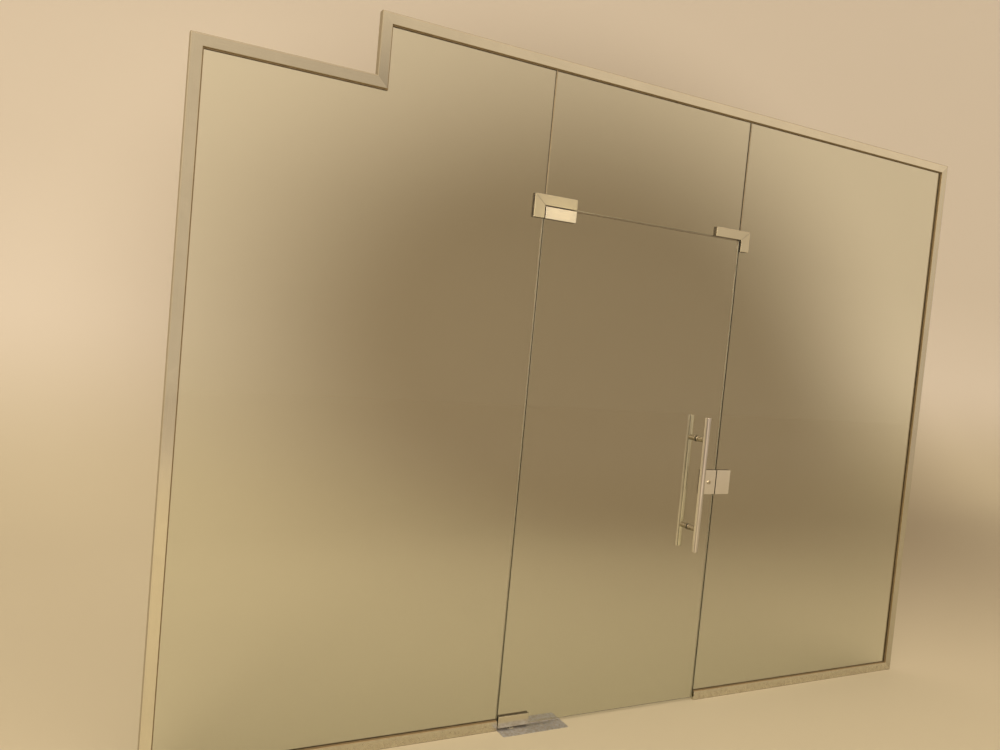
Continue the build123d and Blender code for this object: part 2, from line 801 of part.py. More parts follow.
with BuildPart() as floor_spring_body:
    body_middle = spring_body_length / 2 - spring_body_start
    body_top = box_floor + spring_body_height
    with BuildSketch(Plane.XY.offset(box_floor)):
        with Locations((body_middle, 0)):
            RectangleRounded(spring_body_length, spring_body_width, spring_body_radius)
    extrude(amount=spring_body_height)
    with BuildSketch(Plane.XY.offset(body_top)):
        with Locations((body_middle, 0)):
            RectangleRounded(
                spring_body_length - 2 * spring_lid_inset,
                spring_body_width - 2 * spring_lid_inset,
                spring_body_radius - spring_lid_inset,
            )
    extrude(amount=spring_lid)
    with BuildSketch(Plane.XY.offset(body_top + spring_lid)):
        Circle(spring_boss_radius)
    extrude(amount=spring_boss_height)
    lug_y = spring_body_width / 2 + spring_lug_width / 2
    lug_x = spring_body_length / 2 - spring_lug_inset
    with BuildSketch(Plane.XY.offset(box_floor)):
        with Locations((body_middle, 0)):
            with GridLocations(2 * lug_x, 2 * lug_y, 2, 2):
                Rectangle(spring_lug_length, spring_lug_width)
                Circle(spring_lug_hole_radius, mode=Mode.SUBTRACT)
    extrude(amount=spring_lug_thickness)
    with BuildSketch(Plane.XY.offset(-spindle_root)):
        Circle(spindle_radius + running_fit)
    extrude(amount=spindle_root, mode=Mode.SUBTRACT)
keep(floor_spring_body, "floor_spring_body")

# Lock: case in the notch of the leaf, bolt, cylinder and covers
lock_far = half_glass + lock_cover_depth
case_half_depth = lock_far - lock_cover_sheet
case_face = leaf_free_edge - lock_case_setback
strike_face = right_pane_edge + lock_case_setback
case_bottom = lock_centre_height - lock_case_height / 2
case_top = lock_centre_height + lock_case_height / 2
cylinder_place = (leaf_free_edge - cylinder_inset, lock_centre_height)


def lock_box(face_x, way, slot_depth, slot_half_height, slot_half_width):
    """Box in a notch of the glass, with a slot for the bolt in its face."""
    with BuildPart() as box:
        with BuildSketch(Plane.XZ):
            panel(face_x, face_x + way * lock_case_length, case_bottom, case_top)
        extrude(amount=case_half_depth, both=True)
        with BuildSketch(Plane.XZ):
            slot_bottom = lock_centre_height - slot_half_height
            panel(face_x, face_x + way * slot_depth, slot_bottom, lock_centre_height + slot_half_height)
        extrude(amount=slot_half_width, both=True, mode=Mode.SUBTRACT)
    return box


def lock_cover(edge_x, way, side):
    """Cover with its edges folded down to the glass."""
    lock_bottom = lock_centre_height - lock_height / 2
    lock_top = lock_centre_height + lock_height / 2
    with BuildPart() as cover:
        with BuildSketch(Plane.XZ.offset(-side * half_glass)):
            panel(edge_x, edge_x + way * lock_width, lock_bottom, lock_top)
        extrude(amount=-side * lock_cover_depth)
        front = cover.faces().sort_by(Axis.Y)[0 if side < 0 else -1]
        fillet(front.edges(), radius=cover_corner_radius)
        with BuildSketch(Plane.XZ.offset(-side * half_glass)):
            panel(
                edge_x + way * lock_cover_sheet,
                edge_x + way * (lock_width - lock_cover_sheet),
                lock_bottom + lock_cover_sheet,
                lock_top - lock_cover_sheet,
            )
        extrude(amount=-side * (lock_cover_depth - lock_cover_sheet), mode=Mode.SUBTRACT)
    return cover


with BuildPart() as lock_case:
    add(lock_box(case_face, -1, bolt_length + bolt_gap, bolt_height / 2 + bolt_gap, bolt_thickness / 2 + bolt_gap).part)
    with BuildSketch(Plane.XZ):
        with Locations(cylinder_place):
            Circle(cylinder_radius + running_fit)
    extrude(amount=case_half_depth, both=True, mode=Mode.SUBTRACT)
keep(lock_case, "lock_case")

with BuildPart() as lock_cover_outer:
    add(lock_cover(leaf_free_edge, -1, -1).part)
    with BuildSketch(Plane.XZ):
        with Locations(cylinder_place):
            Circle(cylinder_radius + running_fit)
    extrude(amount=lock_far, mode=Mode.SUBTRACT)
keep(lock_cover_outer, "lock_cover_outer")

with BuildPart() as lock_cover_inner:
    add(lock_cover(leaf_free_edge, -1, 1).part)
    with BuildSketch(Plane.XZ):
        with Locations(cylinder_place):
            Circle(cylinder_radius + running_fit)
    extrude(amount=-lock_far, mode=Mode.SUBTRACT)
keep(lock_cover_inner, "lock_cover_inner")

with BuildPart() as lock_bolt:
    with BuildSketch(Plane.XZ):
        bolt_bottom = lock_centre_height - bolt_height / 2
        panel(case_face - bolt_length, case_face, bolt_bottom, bolt_bottom + bolt_height)
    extrude(amount=bolt_thickness / 2, both=True)
    nose = lock_bolt.faces().sort_by(Axis.X)[-1]
    fillet(nose.edges().filter_by(Axis.Z), radius=bolt_nose_radius)
keep(lock_bolt, "lock_bolt")

cylinder_end = lock_far + cylinder_proud
with BuildPart() as key_cylinder:
    with BuildSketch(Plane.XZ):
        with Locations(cylinder_place):
            Circle(cylinder_radius)
            Circle(plug_radius + running_fit, mode=Mode.SUBTRACT)
    extrude(amount=cylinder_end, both=True)
    end_faces = key_cylinder.faces().sort_by(Axis.Y)
    outer_rims = end_faces[0].outer_wire().edges() + end_faces[-1].outer_wire().edges()
    chamfer(outer_rims, length=cover_corner_radius)
keep(key_cylinder, "key_cylinder")

with BuildPart() as key_plug:
    with BuildSketch(Plane.XZ.offset(plug_gap)):
        with Locations(cylinder_place):
            Circle(plug_radius)
    extrude(amount=cylinder_end + plug_proud - plug_gap)
    with BuildSketch(Plane.XZ.offset(cylinder_end + plug_proud)):
        with Locations(cylinder_place):
            SlotOverall(keyway_height, keyway_width, rotation=90)
    extrude(amount=-keyway_depth, mode=Mode.SUBTRACT)
keep(key_plug, "key_plug")

with BuildPart() as thumb_turn:
    with BuildSketch(Plane.XZ.offset(-plug_gap)):
        with Locations(cylinder_place):
            Circle(plug_radius)
    extrude(amount=-(cylinder_end + plug_proud - plug_gap))
    with BuildSketch(Plane.XZ.offset(-(cylinder_end + plug_proud))):
        with Locations(cylinder_place):
            SlotOverall(turn_length, turn_thickness, rotation=90)
    extrude(amount=-turn_proud)
    fillet(thumb_turn.faces().sort_by(Axis.Y)[-1].edges(), radius=cover_corner_radius)
keep(thumb_turn, "thumb_turn")

# Strike box on the right pane
strike_body = lock_box(
    strike_face,
    1,
    strike_pocket_depth,
    bolt_height / 2 + strike_pocket_gap,
    bolt_thickness / 2 + strike_pocket_gap,
)
keep(strike_body, "strike_body")

strike_cover_outer = lock_cover(right_pane_edge, 1, -1)
keep(strike_cover_outer, "strike_cover_outer")

strike_cover_inner = lock_cover(right_pane_edge, 1, 1)
keep(strike_cover_inner, "strike_cover_inner")


# Pull handle: a tube on each side, tied through the glass
def handle_bar(side):
    with BuildPart() as bar:
        with BuildSketch(Plane.XY.offset(handle_bottom + bar_cap)):
            with Locations((handle_x, side * handle_standoff)):
                Circle(bar_radius)
                Circle(bar_radius - bar_wall, mode=Mode.SUBTRACT)
        extrude(amount=handle_length - 2 * bar_cap)
    return bar


handle_bar_outer = handle_bar(-1)
keep(handle_bar_outer, "handle_bar_outer")

handle_bar_inner = handle_bar(1)
keep(handle_bar_inner, "handle_bar_inner")

# End cap seen from its outer face, with a plug that fits the tube
with BuildPart() as end_cap:
    with BuildSketch(Plane.XZ):
        with BuildLine():
            Polyline(
                (0, 0),
                (bar_radius, 0),
                (bar_radius, bar_cap),
                (bar_radius - bar_wall - running_fit, bar_cap),
                (bar_radius - bar_wall - running_fit, bar_cap + bar_cap_plug),
                (0, bar_cap + bar_cap_plug),
                close=True,
            )
        make_face()
    revolve(axis=Axis.Z)
    fillet(end_cap.faces().sort_by(Axis.Z)[0].edges(), radius=bar_cap_radius)

with BuildPart() as handle_end_caps:
    for side in (-1, 1):
        with Locations((handle_x, side * handle_standoff, handle_bottom)):
            add(end_cap.part)
        with Locations(Location((handle_x, side * handle_standoff, handle_bottom + handle_length), (180, 0, 0))):
            add(end_cap.part)
keep(handle_end_caps, "handle_end_caps")

post_start = half_glass + washer
saddle_reach = handle_standoff - sqrt(bar_radius**2 - post_radius**2)
with BuildPart() as handle_posts:
    for side in (-1, 1):
        with BuildSketch(Plane.XZ.offset(-side * post_start)):
            with Locations(*handle_places):
                Circle(post_flange_radius)
        extrude(amount=-side * post_flange)
    flange_rims = handle_posts.edges().filter_by(GeomType.CIRCLE)
    chamfer(flange_rims.group_by(Axis.Y)[0] + flange_rims.group_by(Axis.Y)[-1], length=post_flange_edge)
    for side in (-1, 1):
        with BuildSketch(Plane.XZ.offset(-side * post_start)):
            with Locations(*handle_places):
                Circle(post_radius)
        extrude(amount=-side * (saddle_reach - post_start))
        with BuildSketch(Plane.XY.offset(handle_bottom)):
            with Locations((handle_x, side * handle_standoff)):
                Circle(bar_radius + saddle_gap)
        extrude(amount=handle_length, mode=Mode.SUBTRACT)
    with BuildSketch(Plane.XZ):
        with Locations(*handle_places):
            Circle(through_bolt_radius + running_fit)
    extrude(amount=through_bolt_reach + washer, both=True, mode=Mode.SUBTRACT)
keep(handle_posts, "handle_posts")

with BuildPart() as handle_washers:
    for start in (half_glass, -post_start):
        with BuildSketch(Plane.XZ.offset(start)):
            with Locations(*handle_places):
                Circle(washer_radius)
                Circle(through_bolt_radius + running_fit, mode=Mode.SUBTRACT)
        extrude(amount=washer)
keep(handle_washers, "handle_washers")

with BuildPart() as handle_bolts:
    with BuildSketch(Plane.XZ):
        with Locations(*handle_places):
            Circle(through_bolt_radius)
    extrude(amount=through_bolt_reach, both=True)
keep(handle_bolts, "handle_bolts")
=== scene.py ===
from math import cos, pi, sin

import bmesh
import bpy
from mathutils import Matrix, Vector


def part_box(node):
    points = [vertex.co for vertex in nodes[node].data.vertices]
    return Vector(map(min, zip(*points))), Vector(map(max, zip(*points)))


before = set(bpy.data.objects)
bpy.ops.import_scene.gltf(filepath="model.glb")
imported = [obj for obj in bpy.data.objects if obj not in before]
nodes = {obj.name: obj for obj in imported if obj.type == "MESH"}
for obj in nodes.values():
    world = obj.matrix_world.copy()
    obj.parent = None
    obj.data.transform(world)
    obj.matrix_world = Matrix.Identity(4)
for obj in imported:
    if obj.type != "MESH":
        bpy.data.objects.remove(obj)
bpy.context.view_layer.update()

# Camera, placed by the photograph's straight edges; metres and unit vectors in
# the part's own frame
CAMERA_PLACE = (-1.7059, -2.8730, 1.5909)
CAMERA_RIGHT = (0.88325, -0.45988, 0.09157)
CAMERA_UP = (-0.05916, 0.08443, 0.99467)
CAMERA_FORWARD = (0.46516, 0.88396, -0.04736)
CAMERA_LENS = 29.997
CAMERA_SENSOR = 36
CAMERA_REACH = 100

# Colours of the metals, linear; the corner cover and post steels are darker
# copies that hold painted shade
STEEL = (0.71, 0.69, 0.60)
STEEL_BRIGHT = (0.84, 0.82, 0.77)
STEEL_TUBE = (0.90, 0.87, 0.86)
STEEL_CORNER_SHADED = (0.66, 0.63, 0.51)
STEEL_SHADED = (0.40, 0.36, 0.29)
STEEL_DULL = (0.64, 0.68, 0.78)
ZINC = (0.46, 0.46, 0.44)
ALLOY = (0.55, 0.55, 0.54)
NICKEL = (0.62, 0.58, 0.49)
CASTING = (0.075, 0.08, 0.085)

# Colours of what lies on them, and of the painted shade on the faces of covers
BLACK = (0.0, 0.0, 0.0)
DUST = (0.42, 0.35, 0.25)
GRIME = (0.52, 0.43, 0.28)
# Painted shade for the faces of covers that don't look along Y
SIDE_SHADE_TONE = (0.085, 0.062, 0.036)
PLASTER = (0.50, 0.46, 0.37)

# Colours of rubber, plastics and glass
RUBBER = (0.27, 0.21, 0.125)
PAD = (0.045, 0.045, 0.042)
FIBRE = (0.24, 0.18, 0.115)
SILICONE = (0.36, 0.31, 0.22)
NYLON = (0.62, 0.60, 0.54)
GLASS_CLEAR = (0.985, 0.985, 0.98)
GLASS_EDGE = (0.30, 0.27, 0.14)
GLASS_TINT = (0.44, 0.54, 0.06)
GLASS_DENSITY = 14.0
GLASS_IOR = 1.52

# Colours of the studio
STAGE_PALE = (0.84, 0.82, 0.80)
STAGE_FLOOR = (0.64, 0.61, 0.50)
STAGE_SHADE = (0.28, 0.24, 0.18)
LAMP = (1.0, 0.80, 0.56)
CARD = (1.0, 0.81, 0.40)
AIR = (1.0, 0.79, 0.55)

# The middle span of a noise, over which most mottling goes from dark to light
MOTTLE = (0.3, 0.7)


def shaded(colour, shade):
    return tuple(shade * c for c in colour)


def map_range(tree, value, low, high, out_low, out_high, smooth=False):
    """Maps one span of a value to another, held at the ends."""
    node = tree.nodes.new("ShaderNodeMapRange")
    if smooth:
        node.interpolation_type = "SMOOTHSTEP"
    node.inputs["From Min"].default_value = low
    node.inputs["From Max"].default_value = high
    node.inputs["To Min"].default_value = out_low
    node.inputs["To Max"].default_value = out_high
    tree.links.new(value, node.inputs["Value"])
    return node.outputs["Result"]


class Surface:
    """A procedural material under construction, with short calls for its nodes."""

    def __init__(self, name):
        self.material = bpy.data.materials.new(name)
        self.material.use_nodes = True
        self.tree = self.material.node_tree
        self.shader = self.tree.nodes["Principled BSDF"]
        own = self.tree.nodes.new("ShaderNodeTexCoord")
        self.place, self.turned = own.outputs["Object"], own.outputs["Normal"]

    def set(self, **values):
        for key, value in values.items():
            self.shader.inputs[key.replace("_", " ")].default_value = value

    def put(self, source, socket):
        self.tree.links.new(source, self.shader.inputs[socket])

    def noise(self, scale, stretch=(1, 1, 1), detail=3, roughness=0.5, distortion=0):
        mapping = self.tree.nodes.new("ShaderNodeMapping")
        mapping.inputs["Scale"].default_value = stretch
        self.tree.links.new(self.place, mapping.inputs["Vector"])
        node = self.tree.nodes.new("ShaderNodeTexNoise")
        node.inputs["Scale"].default_value = scale
        node.inputs["Detail"].default_value = detail
        node.inputs["Roughness"].default_value = roughness
        node.inputs["Distortion"].default_value = distortion
        self.tree.links.new(mapping.outputs["Vector"], node.inputs["Vector"])
        return node.outputs["Fac"]

    def range(self, value, low, high, out_low, out_high, smooth=False):
        return map_range(self.tree, value, low, high, out_low, out_high, smooth)

    def math(self, operation, first, second=0):
        node = self.tree.nodes.new("ShaderNodeMath")
        node.operation = operation
        for index, item in enumerate((first, second)):
            if isinstance(item, (int, float)):
                node.inputs[index].default_value = item
            else:
                self.tree.links.new(item, node.inputs[index])
        return node.outputs["Value"]

    def vector(self, operation, first, second=None):
        node = self.tree.nodes.new("ShaderNodeVectorMath")
        node.operation = operation
        self.tree.links.new(first, node.inputs[0])
        if second is not None:
            node.inputs[1].default_value = second
        return node.outputs["Value" if operation == "LENGTH" else "Vector"]

    def mix(self, factor, first, second):
        node = self.tree.nodes.new("ShaderNodeMix")
        node.data_type = "RGBA"
        self.tree.links.new(factor, node.inputs["Factor"])
        for key, item in (("A", first), ("B", second)):
            socket = [s for s in node.inputs if s.name == key and s.type == "RGBA"][0]
            if isinstance(item, tuple):
                socket.default_value = (*item, 1)
            else:
                self.tree.links.new(item, socket)
        return [s for s in node.outputs if s.type == "RGBA"][0]

    def bump(self, height, distance, under=None):
        node = self.tree.nodes.new("ShaderNodeBump")
        node.inputs["Distance"].default_value = distance
        node.inputs["Strength"].default_value = 1.0
        self.tree.links.new(height, node.inputs["Height"])
        if under is not None:
            self.tree.links.new(under, node.inputs["Normal"])
        return node.outputs["Normal"]

    def part_of(self, vector, axis):
        node = self.tree.nodes.new("ShaderNodeSeparateXYZ")
        self.tree.links.new(vector, node.inputs["Vector"])
        return node.outputs[axis]

    def along(self, axis):
        """Place on an axis of the part, in metres."""
        return self.part_of(self.place, axis)

    def facing(self, axis):
        """How squarely the face looks along an axis of the part."""
        return self.part_of(self.turned, axis)

    def mottled(self, mottle, colour, rough, more_rough, darkest):
        """Base colour and roughness that change together with the mottle."""
        tone = self.mix(self.range(mottle, *MOTTLE, 0, 1), shaded(colour, darkest), colour)
        self.put(tone, "Base Color")
        self.put(self.range(mottle, *MOTTLE, rough, rough + more_rough), "Roughness")


# Scales of the noise in steel, and how far it is drawn out along the grain
GRAIN_SCALE = 900
DRAW_AND_REFLECTION_SCALE = 130
SPECK_SCALE = 60
SMUDGE_SCALE = 7
CLOUD_SCALE = 2.2
GRAIN_STRETCH = 0.02

# Spans of that noise that show, and of how squarely a face looks some way
GRAIN_SPAN = (0.2, 0.8)
DRAW_AND_REFLECTION_SPAN = (0.46, 0.60)
SPECK_SPAN = (0.42, 0.62)
SMUDGE_SPAN = (0.35, 0.75)
UPWARD_SPAN = (0.6, 0.95)
SIDEWAYS_SPAN = (0.25, 0.75)
REFLECTED_BAND_SPAN = (0.972, 0.994)

# Depths and heights on steel, in metres; dirt is gone at DIRT_END times its depth
FACE_SKIN = 0.0006
FOLD = 0.0022
DIRT_END = 1.5
DUST_LINE = 0.06
SHEET_WAVE = 0.0010
COVER_WAVE = 0.00015
FINE_GRAIN = 0.00002
COARSE_GRAIN = 0.00005

# How strongly marks, dirt and painted reflection cover steel
GRAIN_SHADE = 0.05
SMUDGE_SHADE = 0.07
REFLECTED_BAND_SHADE = 0.5
TOP_DUST = 0.75
THIN_DUST = 0.15
DUST_COVER = 0.55

# How much rougher they make it
GRAIN_MATT = 0.05
DUST_MATT = 0.35
GRIME_MATT = 0.4
PLASTER_MATT = 0.65


def steel(
    name, colour, rough, grain_along, wave=0.0, smudge=0.06, grain=FINE_GRAIN, dusty=False,
    lip=None, rim=None, side_shade=0.0, streak=0.0, reflection_fade=None, reflected_band=None,
):
    """Stainless steel: grain along one axis, smudges, and the waves of polished sheet.

    lip is an axis and the place of the face beside the glass, which is dull with
    sealant and dirt, and rim the same for the outer face, which is smeared with
    plaster. side_shade is how far faces that don't look along Y are darkened, as
    painted shade. streak is how strong the wide dark streaks along a tube are,
    which are draw marks in part and painted reflection in part. reflection_fade is
    an axis, two places on it and the shade of the colour at each, a painted
    reflection that changes from one place to the other, and reflected_band the X
    and Y of the way that a thin dark stripe of painted reflection on a mirror tube faces.
    """
    s = Surface(name)
    s.set(Metallic=1.0)
    stretch = tuple(GRAIN_STRETCH if axis == grain_along else 1 for axis in "xyz")
    fine = s.noise(GRAIN_SCALE, stretch, detail=2)
    patchy = s.noise(SMUDGE_SCALE, detail=5, roughness=0.65, distortion=0.6)
    cloud = s.noise(CLOUD_SCALE, detail=2)
    tone = colour
    # Painted reflection: the colour is shaded from one place on the axis to the other
    if reflection_fade:
        axis, start, end, first, last = reflection_fade
        reach = s.range(s.along(axis), start, end, 0, 1)
        tone = s.mix(reach, shaded(colour, first), shaded(colour, last))
    tone = s.mix(s.range(patchy, *MOTTLE, SMUDGE_SHADE, 0), tone, BLACK)
    tone = s.mix(s.range(fine, *MOTTLE, 0, GRAIN_SHADE), tone, BLACK)
    smudged = s.range(patchy, *SMUDGE_SPAN, rough, rough + smudge)
    roughness = s.math("ADD", smudged, s.range(fine, *GRAIN_SPAN, 0, GRAIN_MATT))
    # Wide dark streaks along a tube: draw marks in part, painted reflection in part
    if streak:
        drawn_and_reflected = s.noise(DRAW_AND_REFLECTION_SCALE, stretch, detail=1)
        tone = s.mix(s.range(drawn_and_reflected, *DRAW_AND_REFLECTION_SPAN, 0, streak), tone, BLACK)
    # Painted reflection: a thin dark stripe on faces that look one way
    if reflected_band:
        across = s.math("MULTIPLY", s.facing("X"), reflected_band[0])
        squarely = s.math("ADD", across, s.math("MULTIPLY", s.facing("Y"), reflected_band[1]))
        dark = s.range(squarely, *REFLECTED_BAND_SPAN, 0, REFLECTED_BAND_SHADE, smooth=True)
        tone = s.mix(dark, tone, BLACK)
    if dusty:
        low = s.range(s.along("Z"), 0, DUST_LINE, 1, 0)
        up = s.range(s.facing("Z"), *UPWARD_SPAN, 0, TOP_DUST)
        specks = s.noise(SPECK_SCALE, detail=6, roughness=0.7)
        speck = s.range(specks, *SPECK_SPAN, THIN_DUST, 1)
        dust = s.math("MULTIPLY", s.math("MAXIMUM", low, up), speck)
        tone = s.mix(s.math("MULTIPLY", dust, DUST_COVER), tone, DUST)
        roughness = s.math("ADD", roughness, s.math("MULTIPLY", dust, DUST_MATT))
    dirty_faces = ((lip, FACE_SKIN, GRIME, GRIME_MATT), (rim, FOLD, PLASTER, PLASTER_MATT))
    for face, depth, dirt_tone, matt in dirty_faces:
        if face:
            axis, place = face
            near = s.math("ABSOLUTE", s.math("SUBTRACT", s.along(axis), place))
            dirt = s.range(near, depth, DIRT_END * depth, 1, 0)
            tone = s.mix(dirt, tone, dirt_tone)
            roughness = s.math("ADD", roughness, s.math("MULTIPLY", dirt, matt))
    # Painted shade on faces that don't look along Y
    if side_shade:
        sideways = s.range(s.math("ABSOLUTE", s.facing("Y")), *SIDEWAYS_SPAN, side_shade, 0)
        tone = s.mix(sideways, tone, SIDE_SHADE_TONE)
    s.put(tone, "Base Color")
    s.put(roughness, "Roughness")
    normal = s.bump(fine, grain)
    if wave:
        normal = s.bump(cloud, wave, under=normal)
    s.put(normal, "Normal")
    return s.material


def plain_metal(name, colour, rough, pitted=0.00006, metallic=1.0):
    """Cast, plated or turned metal: mottled, with small pits."""
    s = Surface(name)
    s.set(Metallic=metallic)
    mottle = s.noise(45, detail=5, roughness=0.6)
    s.mottled(mottle, colour, rough, more_rough=0.12, darkest=0.8)
    s.put(s.bump(s.noise(600, detail=3), pitted), "Normal")
    return s.material


def soft_stuff(name, colour, rough, grain):
    """Rubber, silicone, fibre and nylon."""
    s = Surface(name)
    s.set(Metallic=0.0)
    s.mottled(s.noise(80, detail=4), colour, rough, more_rough=0.1, darkest=0.75)
    s.put(s.bump(s.noise(500, detail=3), grain), "Normal")
    return s.material


# Smears and dust on the glass: scales of the noise, the spans of it that show,
# and the heights between which the dust thins out, in metres
SMEAR_SCALE = 5
SMEAR_STRETCH = (1, 1, 0.35)
SMEAR_SPAN = (0.55, 0.8)
GLASS_SPECK_SCALE = 240
GLASS_SPECK_SPAN = (0.55, 0.75)
GLASS_DUST_HEIGHTS = (0.02, 0.35)

# How squarely a face has to look along Y to count as a clear face, not as an edge
EDGE_SPAN = (0.5, 0.9)

# How strongly dust covers the glass, and how rough each thing makes it
GLASS_DUST_COVER = 0.25
GLASS_DUST_MATT = 0.15
SMEAR_MATT = 0.02
EDGE_MATT = 0.45


def clear_glass():
    """Clear toughened glass with its green body colour, light smears and dust low down."""
    s = Surface("clear glass")
    s.set(Metallic=0.0, IOR=GLASS_IOR, Transmission_Weight=1.0)
    smear = s.noise(SMEAR_SCALE, SMEAR_STRETCH, detail=5, roughness=0.7, distortion=1.2)
    low = s.range(s.along("Z"), *GLASS_DUST_HEIGHTS, 1, 0)
    specks = s.noise(GLASS_SPECK_SCALE, detail=4, roughness=0.7)
    dust = s.math("MULTIPLY", low, s.range(specks, *GLASS_SPECK_SPAN, 0, 1))
    edge = s.range(s.math("ABSOLUTE", s.facing("Y")), *EDGE_SPAN, 1, 0)
    clear = s.mix(s.math("MULTIPLY", dust, GLASS_DUST_COVER), GLASS_CLEAR, DUST)
    s.put(s.mix(edge, clear, GLASS_EDGE), "Base Color")
    smeared = s.range(smear, *SMEAR_SPAN, 0, SMEAR_MATT)
    faces = s.math("ADD", smeared, s.math("MULTIPLY", dust, GLASS_DUST_MATT))
    s.put(s.math("ADD", faces, s.math("MULTIPLY", edge, EDGE_MATT)), "Roughness")
    body = s.tree.nodes.new("ShaderNodeVolumeAbsorption")
    body.inputs["Color"].default_value = (*GLASS_TINT, 1)
    body.inputs["Density"].default_value = GLASS_DENSITY
    out = s.tree.nodes["Material Output"]
    s.tree.links.new(body.outputs["Volume"], out.inputs["Volume"])
    return s.material


cover_finish = {"grain_along": "x", "wave": COVER_WAVE, "smudge": 0.05}
looks = {
    "sill_end": steel("frame steel end plate", STEEL, 0.07, "x", dusty=True),
    # The darkened faces of the covers that don't look along Y are painted shade
    "cover": steel("cover steel", STEEL_BRIGHT, 0.09, side_shade=0.8, **cover_finish),
    # The corner covers' darker steel holds painted shade
    "corner_cover": steel("corner cover steel", STEEL_CORNER_SHADED, 0.10, side_shade=0.8, **cover_finish),
    "low_cover": steel("low cover steel", STEEL, 0.12, side_shade=0.15, **cover_finish),
    # The handle's thin dark stripe is painted reflection, and its dark streaks are draw marks
    # in part and painted reflection in part
    "handle": steel(
        "handle steel", STEEL_TUBE, 0.06, "z", smudge=0.05, streak=0.33, reflected_band=(-0.76, -0.65),
    ),
    # The posts' darker steel holds painted shade
    "post": steel("handle post steel", STEEL_SHADED, 0.10, "y", smudge=0.05),
    "plate": steel(
        "floor plate steel", STEEL_DULL, 0.34, "x", smudge=0.22, grain=COARSE_GRAIN, dusty=True,
    ),
    "zinc": plain_metal("zinc plated steel", ZINC, 0.35),
    "alloy": plain_metal("cast alloy", ALLOY, 0.45, pitted=0.00012),
    "nickel": plain_metal("nickel plated brass", NICKEL, 0.16, pitted=0.00001),
    "bright": plain_metal("bright steel", ZINC, 0.2, pitted=0.00002),
    "casting": plain_metal("painted casting", CASTING, 0.5, pitted=0.0002, metallic=0.1),
    "glass": clear_glass(),
    "seal": soft_stuff("glazing seal", RUBBER, 0.5, 0.00004),
    "silicone": soft_stuff("silicone", SILICONE, 0.35, 0.00003),
    "pad": soft_stuff("clamp pad", PAD, 0.6, 0.00005),
    "fibre": soft_stuff("fibre pad", FIBRE, 0.7, 0.00006),
    "nylon": soft_stuff("nylon", NYLON, 0.35, 0.00002),
}


def both_faces(*pieces):
    """Names of pieces that come once outside and once inside."""
    return [f"{piece}_{face}" for piece in pieces for face in ("outer", "inner")]


worn_by = {
    "sill_end": ["sill_end_plates"],
    "cover": both_faces("top_patch_cover", "lock_cover", "strike_cover"),
    "corner_cover": both_faces("hinge_corner_covers", "lock_corner_covers"),
    "low_cover": both_faces("bottom_patch_cover"),
    "handle": [*both_faces("handle_bar"), "handle_end_caps"],
    "post": ["handle_posts"],
    "plate": ["floor_cover_plate"],
    "zinc": ["floor_box", "lock_case", "strike_body", "cover_plate_screws"],
    "alloy": both_faces(
        "top_patch_jaw", "bottom_patch_jaw", "hinge_corner_jaw", "lock_corner_jaw",
    ),
    "nickel": ["key_cylinder", "key_plug", "thumb_turn"],
    "bright": [
        "lock_bolt", "spindle", "top_pivot_pin", "handle_bolts", "door_clamp_screws",
        "corner_clamp_screws",
    ],
    "casting": ["floor_spring_body"],
    "glass": ["left_pane", "right_pane", "over_pane", "door_pane"],
    "seal": ["left_pane_seals", "right_pane_seals", "over_pane_seals"],
    "silicone": ["silicone_joints"],
    "pad": ["setting_blocks", "corner_clamp_pads"],
    "fibre": ["door_clamp_pads"],
    "nylon": ["handle_washers", "top_pivot_bush"],
}


def dress(name, material):
    slots = nodes[name].data.materials
    if not slots:
        slots.append(None)
    for index in range(len(slots)):
        slots[index] = material


for look, names in worn_by.items():
    for name in names:
        dress(name, looks[look])

# Each frame member has its own steel: the grain runs along it, its lip is the
# side of its box that looks at the opening, and the shades of its two ends are
# a painted reflection of what it mirrors, lighter or darker from end to end
LOW, HIGH = 0, 1
frame_members = {
    "left_jamb": ("Z", "X", HIGH, 1.28, 0.93),
    "right_jamb": ("Z", "X", LOW, 0.85, 1.0),
    "head_return": ("Z", "X", HIGH, 0.62, 0.95),
    "lower_head": ("X", "Z", LOW, 0.93, 0.78),
    "upper_head": ("X", "Z", LOW, 0.95, 1.2),
    "left_sill": ("X", "Z", HIGH, 1.0, 1.0),
    "right_sill": ("X", "Z", HIGH, 1.06, 1.06),
}
for name, (length_axis, lip_axis, lip_end, first, last) in frame_members.items():
    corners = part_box(name)
    start, end = (corner["XYZ".index(length_axis)] for corner in corners)
    edges = [corner["XYZ".index(lip_axis)] for corner in corners]
    dress(name, steel(
        f"frame steel {name}", STEEL, 0.07, length_axis.lower(), wave=SHEET_WAVE, dusty=True,
        lip=(lip_axis, edges[lip_end]), rim=(lip_axis, edges[1 - lip_end]),
        reflection_fade=(length_axis, start, end, first, last),
    ))

# Floor and backdrop in one sheet with a wide curve between them
SHEET_FRONT = -14.0
SHEET_BACK = 6.0
SHEET_HALF_WIDTH = 90.0
SHEET_TOP = 9.0
CURVE = 3.0
CURVE_STEPS = 16

# The sheet is graded with a painted shade: deeper in tone behind the screen,
# pale all round
SHADE_MIDDLE = (4.1, 6.0, 1.2)
SHADE_REACH = (5.2, 6.3, 3.9)
SHADE_START = 0.48
SHADE_END = 1.22
FLOOR_END = 1.6
FAR_FLOOR = (-3.0, -8.0)


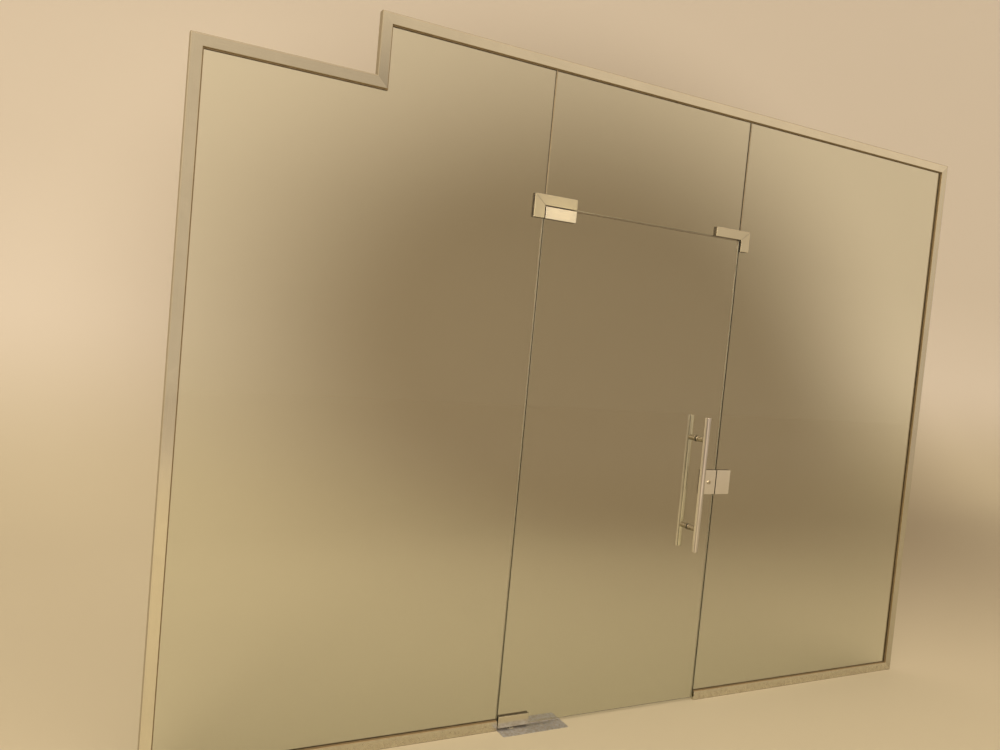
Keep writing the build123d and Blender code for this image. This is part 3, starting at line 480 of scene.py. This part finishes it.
def sheet_mesh():
    profile = [(SHEET_FRONT, 0.0)]
    for step in range(CURVE_STEPS + 1):
        turn = step / CURVE_STEPS * pi / 2
        profile.append((SHEET_BACK - CURVE + CURVE * sin(turn), CURVE - CURVE * cos(turn)))
    profile.append((SHEET_BACK, SHEET_TOP))
    mesh = bmesh.new()
    left, right = (
        [mesh.verts.new((x, y, z)) for y, z in profile]
        for x in (-SHEET_HALF_WIDTH, SHEET_HALF_WIDTH)
    )
    for k in range(len(profile) - 1):
        face = mesh.faces.new((left[k], right[k], right[k + 1], left[k + 1]))
        face.smooth = True
    data = bpy.data.meshes.new("studio_sheet")
    mesh.to_mesh(data)
    mesh.free()
    return data


def sheet_paint():
    s = Surface("studio sheet")
    s.set(Metallic=0.0, Roughness=0.75)
    # Painted shade, deepest around one place behind the screen
    offset = s.vector("SUBTRACT", s.place, SHADE_MIDDLE)
    distance = s.vector("LENGTH", s.vector("DIVIDE", offset, SHADE_REACH))
    out_of_shade = s.range(distance, SHADE_START, SHADE_END, 0, 1, smooth=True)
    up = s.range(s.along("Z"), 0, FLOOR_END, 0, 1, smooth=True)
    far = s.range(s.along("Y"), *FAR_FLOOR, 0, 1, smooth=True)
    pale = s.mix(s.math("MAXIMUM", up, far), STAGE_FLOOR, STAGE_PALE)
    s.put(s.mix(out_of_shade, STAGE_SHADE, pale), "Base Color")
    return s.material


def add_object(name, data):
    obj = bpy.data.objects.new(name, data)
    bpy.context.scene.collection.objects.link(obj)
    return obj


obj = add_object("studio_sheet", sheet_mesh())
obj.data.materials.append(sheet_paint())

# Name, place, aim, size, power and colour of each lamp; the card is what the
# top patch fitting mirrors
lamps = [
    ("key", (-3.6, -4.4, 3.6), (-0.9, -0.3, 0.6), (2.4, 2.0), 110, LAMP),
    ("overhead", (0.6, -2.8, 5.4), (0.6, -0.9, 0.4), (5.0, 2.4), 60, LAMP),
    ("room", (0.8, 2.8, 5.2), (0.8, 2.2, 0.0), (4.0, 2.0), 25, LAMP),
    ("card", (2.79, -4.68, 2.91), (0.07, 0.0, 2.08), (0.30, 0.12), 0.18, CARD),
]
for name, place, aim, size, power, colour in lamps:
    light = bpy.data.lights.new(name, "AREA")
    light.shape = "RECTANGLE"
    light.size, light.size_y = size
    light.energy = power
    light.color = colour
    lamp = add_object(name, light)
    lamp.location = place
    lamp.rotation_euler = (Vector(aim) - Vector(place)).to_track_quat("-Z", "Y").to_euler()

# Soft light from all round, stronger in front of the screen than behind it and
# weaker towards the horizon
AIR_DEPTH = (-0.4, 0.7)
AIR_FRONT = 0.95
AIR_BEHIND = 0.38
AIR_RISE = (0.0, 0.5)
AIR_HORIZON = 0.72

world = bpy.data.worlds.new("studio")
bpy.context.scene.world = world
world.use_nodes = True
air = world.node_tree
back = air.nodes["Background"]
back.inputs["Color"].default_value = (*AIR, 1)
where = air.nodes.new("ShaderNodeTexCoord")
split = air.nodes.new("ShaderNodeSeparateXYZ")
air.links.new(where.outputs["Generated"], split.inputs["Vector"])
depth = map_range(air, split.outputs["Y"], *AIR_DEPTH, AIR_FRONT, AIR_BEHIND)
rise = map_range(air, split.outputs["Z"], *AIR_RISE, AIR_HORIZON, 1.0)
product = air.nodes.new("ShaderNodeMath")
product.operation = "MULTIPLY"
air.links.new(depth, product.inputs[0])
air.links.new(rise, product.inputs[1])
air.links.new(product.outputs["Value"], back.inputs["Strength"])
bpy.context.scene.view_settings.view_transform = "Standard"

camera_data = bpy.data.cameras.new("camera")
camera_data.sensor_width = CAMERA_SENSOR
camera_data.lens = CAMERA_LENS
camera_data.clip_end = CAMERA_REACH
camera = add_object("camera", camera_data)
turn = Matrix((CAMERA_RIGHT, CAMERA_UP, tuple(-c for c in CAMERA_FORWARD))).transposed()
camera.matrix_world = Matrix.Translation(CAMERA_PLACE) @ turn.to_4x4()
bpy.context.scene.camera = camera
